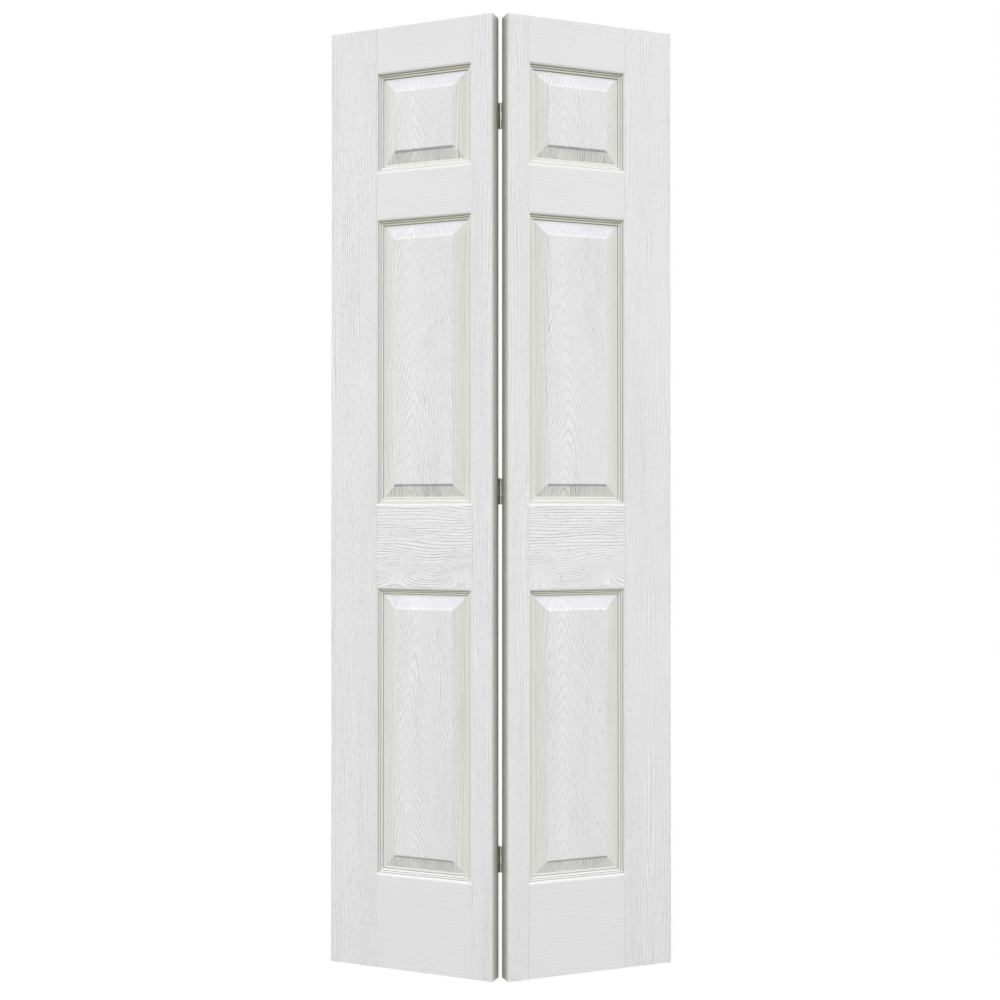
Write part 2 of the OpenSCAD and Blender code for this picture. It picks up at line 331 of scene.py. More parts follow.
def new_group(name, inputs, outputs):
    """A node group with number sockets. Returns its tree, its inputs and its outputs."""
    tree = bpy.data.node_groups.new(name, "ShaderNodeTree")
    for socket, default in inputs.items():
        made = tree.interface.new_socket(socket, in_out="INPUT", socket_type="NodeSocketFloat")
        made.default_value = default
    for socket in outputs:
        tree.interface.new_socket(socket, in_out="OUTPUT", socket_type="NodeSocketFloat")
    return tree, tree.nodes.new("NodeGroupInput").outputs, tree.nodes.new("NodeGroupOutput").inputs


def put_out(tree, outputs, **made):
    """Links a group's results to its outputs. Underscores in names stand for spaces."""
    for key, value in made.items():
        tree.links.new(value, outputs[key.replace("_", " ")])


def use_group(tree, name, **fed):
    """Places a group in a tree and returns its outputs. Underscores stand for spaces."""
    node = tree.nodes.new("ShaderNodeGroup")
    node.node_tree = bpy.data.node_groups[name]
    for key, value in fed.items():
        feed(tree, node.inputs[key.replace("_", " ")], value)
    return node.outputs


print("node helpers ready")

# %% Arithmetic with nodes
def calc(tree, operation, *values):
    """A Math node."""
    return wire(tree, "ShaderNodeMath", *values, operation=operation)


def plus(tree, first, second):
    return calc(tree, "ADD", first, second)


def minus(tree, first, second):
    return calc(tree, "SUBTRACT", first, second)


def times(tree, first, second):
    return calc(tree, "MULTIPLY", first, second)


def times_plus(tree, first, second, added):
    """The first times the second, and then the third added."""
    return calc(tree, "MULTIPLY_ADD", first, second, added)


def apart(tree, value, centre):
    """How far a value is from a centre, on either side."""
    return calc(tree, "ABSOLUTE", minus(tree, value, centre))


def near(tree, value, centre, reach):
    """1 where a value is within reach of a centre, 0 elsewhere."""
    return calc(tree, "COMPARE", value, centre, reach)


def between(tree, value, low, high):
    """1 where a value lies between two numbers, 0 elsewhere."""
    return near(tree, value, (low + high) / 2, (high - low) / 2)


def remap(tree, value, low, high, made_low, made_high):
    """Turns the range from low to high into another range, and holds it at both ends."""
    return wire(tree, "ShaderNodeMapRange", value, low, high, made_low, made_high)


print("arithmetic ready")

# %% Points, noise, colour and bump with nodes
COLOUR_SOCKETS = (0, 6, 7)
COLOUR_RESULT = 2


def surface_point(tree):
    """The point on the surface, in metres from the foot of the pair."""
    return tree.nodes.new("ShaderNodeTexCoord").outputs["Object"]


def split_xyz(tree, vector):
    """A vector's X, Y and Z, by name."""
    node = tree.nodes.new("ShaderNodeSeparateXYZ")
    tree.links.new(vector, node.inputs[0])
    return node.outputs


def noise_at(tree, point, scale, detail=2.0, roughness=0.5):
    """Noise whose middle value is one half."""
    named = {"Vector": point, "Scale": scale, "Detail": detail, "Roughness": roughness}
    return wire(tree, "ShaderNodeTexNoise", named=named)


def mix_colour(tree, factor, first, second):
    """A colour between two others. A Mix node has sockets for other kinds of data as well."""
    node = tree.nodes.new("ShaderNodeMix")
    node.data_type = "RGBA"
    for index, value in zip(COLOUR_SOCKETS, (factor, first, second)):
        feed(tree, node.inputs[index], value)
    return node.outputs[COLOUR_RESULT]


def bump(tree, height):
    """A Bump node whose height is in millimetres."""
    return wire(tree, "ShaderNodeBump", named={"Strength": 1.0, "Distance": MM, "Height": height})


print("points, noise, colour and bump ready")

# %% [markdown]
# ## Where on the leaf am I?
# Grain runs along each piece of wood, so a finish has to know which stile, rail or panel it is on.
# The object coordinates are turned back by the fold angle, as the points were above. The leaves are
# mirror images, so the size of X serves both, and its sign tells them apart.

# %% Leaf coordinates as a node group
def build_leaf_place():
    tree, _, outputs = new_group("leaf_place", {}, ["Across", "Depth", "Up", "Side"])
    point = split_xyz(tree, surface_point(tree))
    x = calc(tree, "ABSOLUTE", point["X"])
    y = minus(tree, point["Y"], pin.y)
    along = times_plus(tree, x, math.cos(lean), times(tree, y, math.sin(lean)))
    behind = times_plus(tree, y, math.cos(lean), times(tree, x, -math.sin(lean)))
    put_out(
        tree, outputs, Across=minus(tree, along, edge_u), Depth=minus(tree, behind, front_v),
        Up=point["Z"], Side=calc(tree, "SIGN", point["X"]),
    )


build_leaf_place()
print("group leaf_place")

# %% Which part of the leaf, as masks
STICKING_W = 21 * MM
JOINT_W = 0.8 * MM
JOINT_U = (OPENING_U[0] + 1.5 * MM, OPENING_U[1] - 3.5 * MM)


def build_leaf_parts():
    tree, inputs, outputs = new_group(
        "leaf_parts", {"Across": 0, "Up": 0}, ["Stile", "Rail", "Panel", "Joint"]
    )
    across, up = inputs["Across"], inputs["Up"]

    def inside_by(margin):
        return between(tree, across, OPENING_U[0] + margin, OPENING_U[1] - margin)

    column = between(tree, across, *JOINT_U)
    field_column = inside_by(moulding_w)
    opening, inner = 0.0, 0.0
    for low, high in PANELS:
        opening = plus(tree, opening, between(tree, up, low, high))
        inner = plus(tree, inner, between(tree, up, low + STICKING_W, high - STICKING_W))
    closed = minus(tree, 1, opening)
    side_bevels = times(tree, inner, minus(tree, inside_by(STICKING_W), field_column))
    half_joint = (JOINT_U[1] - JOINT_U[0]) / 2
    on_joint = near(tree, apart(tree, across, sum(JOINT_U) / 2), half_joint, JOINT_W / 2)
    put_out(
        tree, outputs,
        Stile=plus(tree, side_bevels, minus(tree, 1, column)), Rail=times(tree, column, closed),
        Panel=times(tree, field_column, inner), Joint=times(tree, on_joint, closed),
    )


build_leaf_parts()
print("group leaf_parts")

# %% [markdown]
# ## The parts of the moulding
# The foot of each step carries a fine darker line, painted shade as a tight inner corner would
# cast, also where the light falls straight in. The small flats between the steps carry painted
# light, but not those beside the fold. The moulding is painted a little warmer where it shades
# itself, as painted shade, and cooler on the upper bevels, as painted skylight. The distance from
# the edge of the opening finds those places on all four sides of a panel at once, and mitres them
# at the corners as the pressing does.

# %% Parts of the moulding, as masks
# Painted shade: fine dark lines at the foot of each step, and at the foot of the shoulder below a
# field.
QUIRKS = (7.3 * MM, 10.9 * MM, 15.6 * MM)
QUIRK_W = 0.9 * MM
UPRIGHT_QUIRK = 0.7
# Painted light on the flats between the steps, except on those beside the fold.
TREADS = (9.1 * MM, 13.2 * MM)
TREAD_W = 1.7 * MM
SHOULDER_FOOT = 43.6 * MM
# How much of the painted warm shade the lower bevels get.
SILL_WARMTH = 0.8
# A band is where it starts, where it ends, and how softly.
STEPS_BAND = (2 * MM, 18 * MM, 4 * MM)
BEVEL_BAND = (17 * MM, 44 * MM, 1 * MM)
MOULDING_MASKS = [
    "Upright Steps", "Upper Steps", "Quirks", "Treads", "Foot", "Sill", "Crown", "Shaded"
]


def build_moulding_parts():
    tree, inputs, outputs = new_group("moulding_parts", {"Across": 0, "Up": 0}, MOULDING_MASKS)
    across, up = inputs["Across"], inputs["Up"]
    middle_u = sum(OPENING_U) / 2
    in_u = minus(tree, middle_u - OPENING_U[0], apart(tree, across, middle_u))
    in_z, lower = -1.0, 0.0
    for low, high in PANELS:
        middle = (low + high) / 2
        in_panel = minus(tree, (high - low) / 2, apart(tree, up, middle))
        in_z = calc(tree, "MAXIMUM", in_z, in_panel)
        lower = plus(tree, lower, between(tree, up, low, middle))
    inside = calc(tree, "MINIMUM", in_u, in_z)
    upright = calc(tree, "LESS_THAN", in_u, in_z)
    level = minus(tree, 1, upright)

    def lines(distances, half_width):
        made = 0.0
        for distance in distances:
            line = remap(tree, apart(tree, inside, distance), 0.0, half_width, 1.0, 0.0)
            made = plus(tree, made, line)
        return calc(tree, "MINIMUM", made, 1.0)

    def band(start, end, soft):
        rise = remap(tree, inside, start, start + soft, 0.0, 1.0)
        return times(tree, rise, remap(tree, inside, end - soft, end, 1.0, 0.0))

    steps, bevel = band(*STEPS_BAND), band(*BEVEL_BAND)
    lower_level = times(tree, lower, level)
    upper_level = minus(tree, level, lower_level)
    outer_upright = times(tree, upright, calc(tree, "GREATER_THAN", across, middle_u))
    on_uprights = times_plus(tree, upright, UPRIGHT_QUIRK - 1, 1)
    shaded_steps = times(tree, steps, minus(tree, 1, lower_level))
    out_of_light = calc(tree, "MAXIMUM", upright, times(tree, lower_level, SILL_WARMTH))
    put_out(
        tree, outputs,
        Upright_Steps=times(tree, upright, steps),
        Upper_Steps=times(tree, upper_level, steps),
        Quirks=times(tree, lines(QUIRKS, QUIRK_W), on_uprights),
        Treads=times(tree, calc(tree, "MAXIMUM", level, outer_upright), lines(TREADS, TREAD_W)),
        Foot=times(tree, lower_level, lines((SHOULDER_FOOT,), QUIRK_W)),
        Sill=times(tree, lower_level, bevel),
        Crown=times(tree, upper_level, bevel),
        Shaded=calc(tree, "MAXIMUM", shaded_steps, times(tree, bevel, out_of_light)),
    )


build_moulding_parts()
print("group moulding_parts")

# %% [markdown]
# ## Pressed wood grain
# The press tool is etched with oak grain: fine lines that gather in bands, broken by short pores. A
# wave texture is too even, so the lines come from a phase that noise pushes about, and slower noise
# makes them strong here and faint there. The mean of a line is taken off, so that strong grain is
# no darker as a whole than faint grain. The same group draws straight grain or arches, depending on
# the phase that it is given.

# %% Grain lines as a node group
VALLEY_SHARPNESS = 1.4
VALLEY_MEAN = 0.285
# A cloud is its size across and along the grain, and what is added to the seed.
BANDS = (26 * MM, 420 * MM, 0.0)
PATCHES = (9 * MM, 75 * MM, 7.3)
FLECKS = (0.9 * MM, 16 * MM, 3.1)
# A strength turns one range of a cloud into another.
BAND_STRENGTH = (0.36, 0.64, 0.4, 1.0)
PATCH_STRENGTH = (0.32, 0.6, 0.3, 1.0)
FLECK_STRENGTH = (0.6, 0.72, 0.0, 1.0)


def noise(tree, x, y, z, detail=2.0):
    """Noise at a point whose coordinates are already scaled."""
    return noise_at(tree, wire(tree, "ShaderNodeCombineXYZ", x, y, z), 1.0, detail)


def build_grain_lines():
    tree, inputs, outputs = new_group(
        "grain_lines", {"Phase": 0, "Across": 0, "Along": 0, "Seed": 0}, ["Lines", "Pores"]
    )

    def cloud(across_size, along_size, shift):
        across = times(tree, inputs["Across"], 1 / across_size)
        along = times(tree, inputs["Along"], 1 / along_size)
        return noise(tree, across, along, plus(tree, inputs["Seed"], shift), 1.0)

    wave = calc(tree, "COSINE", times(tree, inputs["Phase"], 2 * math.pi))
    valley = calc(tree, "POWER", calc(tree, "MAXIMUM", wave, 0), VALLEY_SHARPNESS)
    strong = remap(tree, cloud(*BANDS), *BAND_STRENGTH)
    broken = remap(tree, cloud(*PATCHES), *PATCH_STRENGTH)
    relief = times(tree, minus(tree, valley, VALLEY_MEAN), times(tree, strong, broken))
    pores = remap(tree, cloud(*FLECKS), *FLECK_STRENGTH)
    put_out(tree, outputs, Lines=relief, Pores=pores)


build_grain_lines()
print("group grain_lines")

# %% [markdown]
# ## How the grain runs
# The stiles and the side bevels carry straight grain, the rails wave a little, and the raised
# fields carry arches that stand nearer the fold than the middle. At the foot of the lock rail the
# lines part round two knots, so the phase swells there. The knots themselves are pressed faintly,
# and so are the tips of the arches.

# %% Straight, wavy and arched grain
STILE_SPACING = 5.2 * MM
RAIL_SPACING = 6.2 * MM
ARCH_SPACING = 5.4 * MM
ARCH_RISE = 27 * MM
ARCH_TIP = 12.88 * MM
APEX_SHIFT = -28 * MM
APEX_HALF = 22 * MM
APEX_FAINT = 0.45
# A drift is its size across and up, what is added to the seed, how far it goes, and detail.
STILE_DRIFT = (60 * MM, 700 * MM, 0.0, 9.0, 2.0)
RAIL_DRIFT = (190 * MM, 60 * MM, 11.0, 5.0, 1.0)
ARCH_DRIFT = (40 * MM, 160 * MM, 31.0, 2.6, 2.0)
APEX_DRIFT = (1.0, 330 * MM, 23.0, 60 * MM, 1.0)
KNOTS = [(222 * MM, 838 * MM), (69 * MM, 834 * MM)]
# A swell is the lines that it adds, and its half width and half height.
KNOT_SWELLS = [(2.3, 46 * MM, 48 * MM), (3.2, 24 * MM, 15 * MM)]
KNOT_FAINT = 0.8


def build_grain_phases():
    tree, inputs, outputs = new_group(
        "grain_phases", {"Across": 0, "Up": 0, "Seed": 0, "Shift": 0},
        ["Stile", "Rail", "Panel", "Flank", "Clear"],
    )
    across, up = inputs["Across"], inputs["Up"]

    def drift(u_size, z_size, shift, amount, detail):
        u, z = times(tree, across, 1 / u_size), times(tree, up, 1 / z_size)
        value = noise(tree, u, z, plus(tree, inputs["Seed"], shift), detail)
        return times(tree, minus(tree, value, 0.5), amount)

    straight = times_plus(tree, across, 1 / STILE_SPACING, drift(*STILE_DRIFT))
    level = times_plus(tree, up, 1 / RAIL_SPACING, drift(*RAIL_DRIFT))
    clear = 1.0
    for knot_u, knot_z in KNOTS:
        off_u, off_z = minus(tree, across, knot_u), minus(tree, up, knot_z)
        for lines, half_u, half_z in KNOT_SWELLS:
            u, z = times(tree, off_u, 1 / half_u), times(tree, off_z, 1 / half_z)
            far = times_plus(tree, u, u, times(tree, z, z))
            swell = calc(tree, "POWER", math.e, times(tree, far, -1))
            level = times_plus(tree, swell, -lines, level)
        clear = times(tree, clear, times_plus(tree, swell, -KNOT_FAINT, 1))
    shifted = plus(tree, sum(OPENING_U) / 2, inputs["Shift"])
    off = minus(tree, across, plus(tree, shifted, drift(*APEX_DRIFT)))
    reach = calc(tree, "SQRT", times_plus(tree, off, off, ARCH_TIP ** 2))
    side_lines = times_plus(tree, reach, 1 / ARCH_SPACING, drift(*ARCH_DRIFT))
    flank = remap(tree, calc(tree, "ABSOLUTE", off), 0.0, APEX_HALF, APEX_FAINT, 1.0)
    put_out(
        tree, outputs, Stile=straight, Rail=level,
        Panel=times_plus(tree, up, 1 / ARCH_RISE, side_lines), Flank=flank, Clear=clear,
    )


build_grain_phases()
print("group grain_phases")

# %% [markdown]
# ## The coat of primer
# Sprayed primer is matt and not quite flat: it dries with a faint orange peel and a few specks. The
# group gives a height for the bump and a slow tint, so that no large face is one flat colour.

# %% Primer as a node group
TINT_SCALE = 2.3


def build_primer_coat():
    tree, inputs, outputs = new_group("primer_coat", {"Peel Size": 1.3 * MM}, ["Peel", "Tint"])
    point = surface_point(tree)
    peel = noise_at(tree, point, calc(tree, "DIVIDE", 1, inputs["Peel Size"]), 1.0)
    put_out(
        tree, outputs, Peel=minus(tree, peel, 0.5), Tint=noise_at(tree, point, TINT_SCALE, 3.0)
    )


build_primer_coat()
print("group primer_coat")

# %% [markdown]
# ## Primed facing
# The facing's finish picks the right grain for each part of the leaf, adds the fine joint lines
# that are pressed where stiles meet rails, and turns it all into a shallow bump. Primer sits
# thinner in the lines, so they are a shade darker as well, and the lock rail is pressed the
# deepest. The tips of the arches and the knots are the faintest.

# %% Material of the facings
PRIMER = (0.858, 0.856, 0.862, 1)
# Painted light: the brighter colour of the flats between the steps.
PRIMER_PAINTED_LIGHT = (0.96, 0.96, 0.96, 1)
# Painted shade: the warmer tone of the moulding where it shades itself.
PRIMER_PAINTED_SHADE_WARM = (0.808, 0.817, 0.744, 1)
# Painted shade: the olive tone of the upper steps.
PRIMER_PAINTED_SHADE_OLIVE = (0.84, 0.84, 0.46, 1)
# Painted skylight: the cooler tone of the upper bevels.
PRIMER_PAINTED_SKYLIGHT = (0.841, 0.832, 0.884, 1)
PRIMER_SHADE = (0.60, 0.60, 0.585, 1)
# Painted shade: the colour of the dark lines at the foot of the steps and of the shoulder.
QUIRK_PAINTED_SHADE = (0.13, 0.13, 0.095, 1)
# The edge primer, darker than the face partly as painted shade.
EDGE_PRIMER_AND_SHADE = (0.69, 0.69, 0.635, 1)
EDGE_PRIMER_SHADE = (0.50, 0.49, 0.44, 1)
# Painted shade of the slit, on the fold edges towards the back.
EDGE_PAINTED_SHADE = (0.33, 0.335, 0.27, 1)
BACK_SEED = 41.7
SIDE_SEED = 17.9


def new_material(name):
    """A material with its Principled shader. Returns it, its tree and the shader's inputs."""
    material = bpy.data.materials.new(name)
    material.use_nodes = True
    tree = material.node_tree
    return material, tree, tree.nodes["Principled BSDF"].inputs


print("primer:", PRIMER)

# %% How deep and how dark the press leaves each part
# Depths are in millimetres. A shade of 1 turns the primer into its shade colour.
LINE_DEPTH, LINE_SHADE = 0.30, 0.36
PORE_DEPTH, PORE_SHADE = 0.16, 0.12
JOINT_DEPTH, JOINT_SHADE = 0.3, 0.52
PART_PRESS = {"Stile": 2.05, "Rail": 0.6, "Panel": 2.5}
PART_FAINTER = {"Panel": "Flank", "Rail": "Clear"}
PART_SEED = {"Stile": 5, "Rail": 4, "Panel": 5}
LOCK_RAIL = (PANELS[0][1], PANELS[1][0])
LOCK_RAIL_PRESS = 3.8
SILL_PRESS = 0.9


def press_in(tree, place, parts, steps, lock_rail, seed, cuts, shade):
    """Adds the grain of every part to a depth and to a shade."""
    phases = use_group(
        tree, "grain_phases", Across=place["Across"], Up=place["Up"], Seed=seed,
        Shift=times(tree, place["Side"], APEX_SHIFT),
    )
    deeper = times_plus(tree, lock_rail, LOCK_RAIL_PRESS - 1, 1)
    deeper = times_plus(tree, steps["Sill"], SILL_PRESS, deeper)
    for part, press in PART_PRESS.items():
        across, along = ("Up", "Across") if part == "Rail" else ("Across", "Up")
        grain = use_group(
            tree, "grain_lines", Phase=phases[part], Across=place[across], Along=place[along],
            Seed=plus(tree, seed, PART_SEED[part]),
        )
        deep = times(tree, grain["Pores"], PORE_DEPTH)
        deep = times_plus(tree, grain["Lines"], LINE_DEPTH, deep)
        dark = times(tree, grain["Pores"], PORE_SHADE)
        dark = times_plus(tree, grain["Lines"], LINE_SHADE, dark)
        here = times(tree, times(tree, parts[part], press), deeper)
        if part in PART_FAINTER:
            here = times(tree, here, phases[PART_FAINTER[part]])
        cuts = times_plus(tree, here, deep, cuts)
        shade = times_plus(tree, here, dark, shade)
    return cuts, shade


print("press strength:", PART_PRESS)

# %% [markdown]
# ## Tones of the coat
# One coat of primer is not one colour everywhere, and some of its tones here are painted light and
# shade. The door is painted darker towards the floor, as painted shade, and the moulding has its
# own tones. The long edges are a darker primer, partly painted shade, and the fold edges are
# painted darker towards the back, as the shade deep in the slit between the leaves. Each tone is a
# mask and a strength, laid over the one before, because a mask can be moved or turned down without
# touching the others. The last cell puts them together with the grain.

# %% Tones of the coat
COAT_SHADE = 0.19
# Painted light on the lock rail, offsetting the shade of its deep bump.
LOCK_RAIL_PAINTED_LIGHT = -0.11
# Painted shade on the rails, matching the shade of the stiles' deeper grain.
RAIL_PAINTED_SHADE = 0.06
# Painted light on the lower bevels.
SILL_PAINTED_LIGHT = -0.15
# Painted shade, darker towards the floor.
PAINTED_FLOOR_SHADE = 0.07
FLOOR_SHADE_HEIGHT = 300 * MM
TINT_SHADE = 0.08
# Painted shade on the upright steps.
STEP_SHADE = 0.19
# Strengths of the painted shade lines at the foot of the steps and of the shoulder.
QUIRK_SHADE = 0.95
FOOT_SHADE = 0.78
# Strength of the painted warm shade.
WARMTH = 0.85
# Strength of the painted olive shade on the upper steps.
UPPER_WARMTH = 0.3
EDGE_W = 1.3 * MM
# Where the painted shade of the slit starts and where it is full.
EDGE_SHADE_DEPTHS = (0.17 * leaf_t, 0.85 * leaf_t)


def layer(tree, shade, *layers):
    """A shade with more layers added, each a mask and its strength."""
    for mask, strength in layers:
        shade = times_plus(tree, mask, strength, shade)
    return shade


def moulding_tones(tree, steps):
    """Primer colour: painted shade warm and olive, painted skylight, painted light on flats."""
    coated = mix_colour(tree, times(tree, steps["Shaded"], WARMTH), PRIMER, PRIMER_PAINTED_SHADE_WARM)
    coated = mix_colour(tree, steps["Crown"], coated, PRIMER_PAINTED_SKYLIGHT)
    coated = mix_colour(tree, steps["Treads"], coated, PRIMER_PAINTED_LIGHT)
    return mix_colour(tree, times(tree, steps["Upper Steps"], UPPER_WARMTH), coated, PRIMER_PAINTED_SHADE_OLIVE)


def slit_shade(tree, place):
    """Painted slit shade, from 0 to 1 on the fold edge, from the front of the leaf to the back."""
    on_edge = calc(tree, "LESS_THAN", place["Across"], EDGE_W)
    return times(tree, on_edge, remap(tree, place["Depth"], *EDGE_SHADE_DEPTHS, 0.0, 1.0))


# The edge band of darker primer, partly painted shade.
print("edges in thin primer to", EDGE_W / MM, "mm from the corner")

# %% Put the facing's finish together
PEEL_DEPTH = 0.012
NOISE_SPAN = (0.3, 0.7)
PRIMER_ROUGHNESS = (0.46, 0.56)


def primed_facing():
    material, tree, shader = new_material("primed_facing")
    place = use_group(tree, "leaf_place")
    coat = use_group(tree, "primer_coat")
    parts, steps = (
        use_group(tree, group, Across=place["Across"], Up=place["Up"])
        for group in ("leaf_parts", "moulding_parts")
    )
    behind = calc(tree, "GREATER_THAN", place["Depth"], leaf_t / 2)
    seed = times_plus(tree, behind, BACK_SEED, times(tree, place["Side"], SIDE_SEED))
    lock_rail = times(tree, between(tree, place["Up"], *LOCK_RAIL), parts["Rail"])
    # Painted shade, darker towards the floor.
    near_floor = remap(tree, place["Up"], 0.0, FLOOR_SHADE_HEIGHT, 1.0, 0.0)
    # Painted light on the lock rail and lower bevels, painted shade on the rails and near the
    # floor.
    shade = layer(
        tree, COAT_SHADE, (parts["Joint"], JOINT_SHADE), (lock_rail, LOCK_RAIL_PAINTED_LIGHT),
        (parts["Rail"], RAIL_PAINTED_SHADE), (steps["Sill"], SILL_PAINTED_LIGHT), (near_floor, PAINTED_FLOOR_SHADE),
    )
    cuts = times(tree, parts["Joint"], JOINT_DEPTH)
    cuts, shade = press_in(tree, place, parts, steps, lock_rail, seed, cuts, shade)
    height = times_plus(tree, coat["Peel"], PEEL_DEPTH, times(tree, cuts, -1))
    feed(tree, shader["Normal"], bump(tree, height))
    # Painted shade on the upright steps, with the random tint.
    shade = layer(tree, shade, (coat["Tint"], TINT_SHADE), (steps["Upright Steps"], STEP_SHADE))
    # The moulding's painted shade and light tones, then the shade mix.
    primer = mix_colour(tree, shade, moulding_tones(tree, steps), PRIMER_SHADE)
    # Painted shade: dark lines at the foot of the steps and of the shoulder.
    quirks = times(tree, steps["Quirks"], QUIRK_SHADE)
    quirks = times_plus(tree, steps["Foot"], FOOT_SHADE, quirks)
    stepped = mix_colour(tree, quirks, primer, QUIRK_PAINTED_SHADE)
    # Edge primer on the rounded long edges, partly painted shade.
    off_middle = apart(tree, place["Across"], leaf_w / 2)
    on_edge = calc(tree, "GREATER_THAN", off_middle, leaf_w / 2 - EDGE_W)
    edged = mix_colour(tree, on_edge, stepped, EDGE_PRIMER_AND_SHADE)
    # Painted shade of the slit, darker towards the back of the fold edge.
    feed(tree, shader["Base Color"], mix_colour(tree, slit_shade(tree, place), edged, EDGE_PAINTED_SHADE))
    roughness = remap(tree, coat["Tint"], *NOISE_SPAN, *PRIMER_ROUGHNESS)
    feed(tree, shader["Roughness"], roughness)
    shader["Specular IOR Level"].default_value = 0.4
    return material


facing_finish = primed_facing()
for piece in facings:
    piece.data.materials.append(facing_finish)
    piece.data.materials.append(facing_finish)
print("material", facing_finish.name)

# %% [markdown]
# ## Planed pine
# Stiles and rails are pine. Its rings show as curved bands on a sawn end and as long stripes on a
# face, and both are one thing: the distance from the middle of the tree, which lay well outside the
# stick. The group measures that distance across the grain and lets it wander slowly along the
# grain, so ends and faces agree at their shared edge.

# %% Pine rings as a node group
RING_SPACING = 3.1 * MM
RING_SHARPNESS = 2.6
LATE_WOOD = (0.12, 0.85, 0.0, 1.0)
HEART = (31 * MM, 22 * MM)
HEART_WANDER = 24 * MM
WANDER_SCALE = (1.4, 9)
FIBRE_SCALE = (2600, 60)


def build_pine_rings():
    tree, inputs, outputs = new_group(
        "pine_rings", {"Across": 0, "Through": 0, "Along": 0, "Seed": 0}, ["Late", "Fibre"]
    )
    across, through, along = inputs["Across"], inputs["Through"], inputs["Along"]
    wander_along, wander_across = WANDER_SCALE
    slow = noise(
        tree, times(tree, along, wander_along), times(tree, across, wander_across), inputs["Seed"]
    )
    a = plus(tree, across, times_plus(tree, slow, HEART_WANDER, HEART[0]))
    b = plus(tree, through, HEART[1])
    radius = calc(tree, "SQRT", times_plus(tree, a, a, times(tree, b, b)))
    ring = calc(tree, "FRACT", times(tree, radius, 1 / RING_SPACING))
    late = remap(tree, calc(tree, "POWER", ring, RING_SHARPNESS), *LATE_WOOD)
    thin, long = FIBRE_SCALE
    fibre = noise(
        tree, times(tree, across, thin), times(tree, along, long), times(tree, through, thin), 1.0
    )
    put_out(tree, outputs, Late=late, Fibre=fibre)


build_pine_rings()
print("group pine_rings")

# %% [markdown]
# ## Stiles
# A stile is planed pine that was primed with the rest of the leaf along its long edges and sawn
# bare at top and bottom. The direction of the surface tells the two apart: only a sawn end faces up
# or down. The glue lines beside the facings show as fine seams. The edge primer is darker, partly
# as painted shade, and the fold edge is painted darker towards the back, as the facing's is, as the
# shade in the slit between the leaves.

# %% Material of the stiles
PINE_EARLY = (0.70, 0.50, 0.29, 1)
PINE_LATE = (0.46, 0.27, 0.12, 1)
SEAM_W, SEAM_DEPTH, SEAM_SHADE = 0.35 * MM, 0.12, 0.5
RING_DEPTH, RING_SHADE = 0.05, 0.1
FIBRE_DEPTH = 0.03
EDGE_TINT_SHADE = 0.15
PRIMED_THEN_BARE = (0.52, 0.8)


def facing_up_or_down(tree):
    """1 where the surface faces up or down, 0 where it stands."""
    normal = split_xyz(tree, tree.nodes.new("ShaderNodeTexCoord").outputs["Normal"])
    return calc(tree, "GREATER_THAN", calc(tree, "ABSOLUTE", normal["Z"]), 0.5)


def primed_stile():
    material, tree, shader = new_material("primed_stile")
    place = use_group(tree, "leaf_place")
    coat = use_group(tree, "primer_coat")
    wood = use_group(
        tree, "pine_rings", Across=place["Across"], Through=place["Depth"], Along=place["Up"],
        Seed=times(tree, place["Side"], SIDE_SEED),
    )
    pine = mix_colour(tree, wood["Late"], PINE_EARLY, PINE_LATE)
    off_middle = apart(tree, place["Depth"], leaf_t / 2)
    seam = near(tree, off_middle, leaf_t / 2 - SKIN_T, SEAM_W)
    tint = times(tree, coat["Tint"], EDGE_TINT_SHADE)
    shade = layer(tree, tint, (seam, SEAM_SHADE), (wood["Late"], RING_SHADE))
    # Edge primer, partly painted shade.
    painted = mix_colour(tree, shade, EDGE_PRIMER_AND_SHADE, EDGE_PRIMER_SHADE)
    # Painted shade of the slit, darker towards the back of the fold edge.
    painted = mix_colour(tree, slit_shade(tree, place), painted, EDGE_PAINTED_SHADE)
    bare = facing_up_or_down(tree)
    feed(tree, shader["Base Color"], mix_colour(tree, bare, painted, pine))
    feed(tree, shader["Roughness"], remap(tree, bare, 0.0, 1.0, *PRIMED_THEN_BARE))
    fibre = times(tree, wood["Fibre"], FIBRE_DEPTH)
    height = layer(tree, fibre, (wood["Late"], RING_DEPTH), (seam, -SEAM_DEPTH))
    feed(tree, shader["Normal"], bump(tree, height))
    return material


def finish_nodes(names, material):
    """Gives carried-over pieces their finish."""
    for name in names:
        node = frame["nodes"][name]
        node.data.materials.clear()
        node.data.materials.append(material)
    print(material.name, "on", len(names), "pieces")


stiles = [f"{side}_{part}" for side in SIDES for part in ("hinge_stile", "outer_stile")]
finish_nodes(stiles, primed_stile())

# %% [markdown]
# ## Rails
# The rails lie across the leaf, so their grain runs from edge to edge. Only their sawn top and
# bottom show, bare.

# %% Material of the rails
BARE_FIBRE_SHADE = 0.3
BARE_FIBRE_DEPTH = 0.06


def bare_rail():
    material, tree, shader = new_material("bare_rail")
    place = use_group(tree, "leaf_place")
    wood = use_group(
        tree, "pine_rings", Across=place["Up"], Through=place["Depth"], Along=place["Across"],
        Seed=times(tree, place["Side"], BACK_SEED),
    )
    pine = mix_colour(tree, wood["Late"], PINE_EARLY, PINE_LATE)
    fibre_tone = times(tree, wood["Fibre"], BARE_FIBRE_SHADE)
    feed(tree, shader["Base Color"], mix_colour(tree, fibre_tone, pine, PINE_LATE))
    shader["Roughness"].default_value = 0.78
    feed(tree, shader["Normal"], bump(tree, times(tree, wood["Fibre"], BARE_FIBRE_DEPTH)))
    return material


rails = [f"{side}_{part}" for side in SIDES for part in ("top_rail", "bottom_rail")]
finish_nodes(rails, bare_rail())

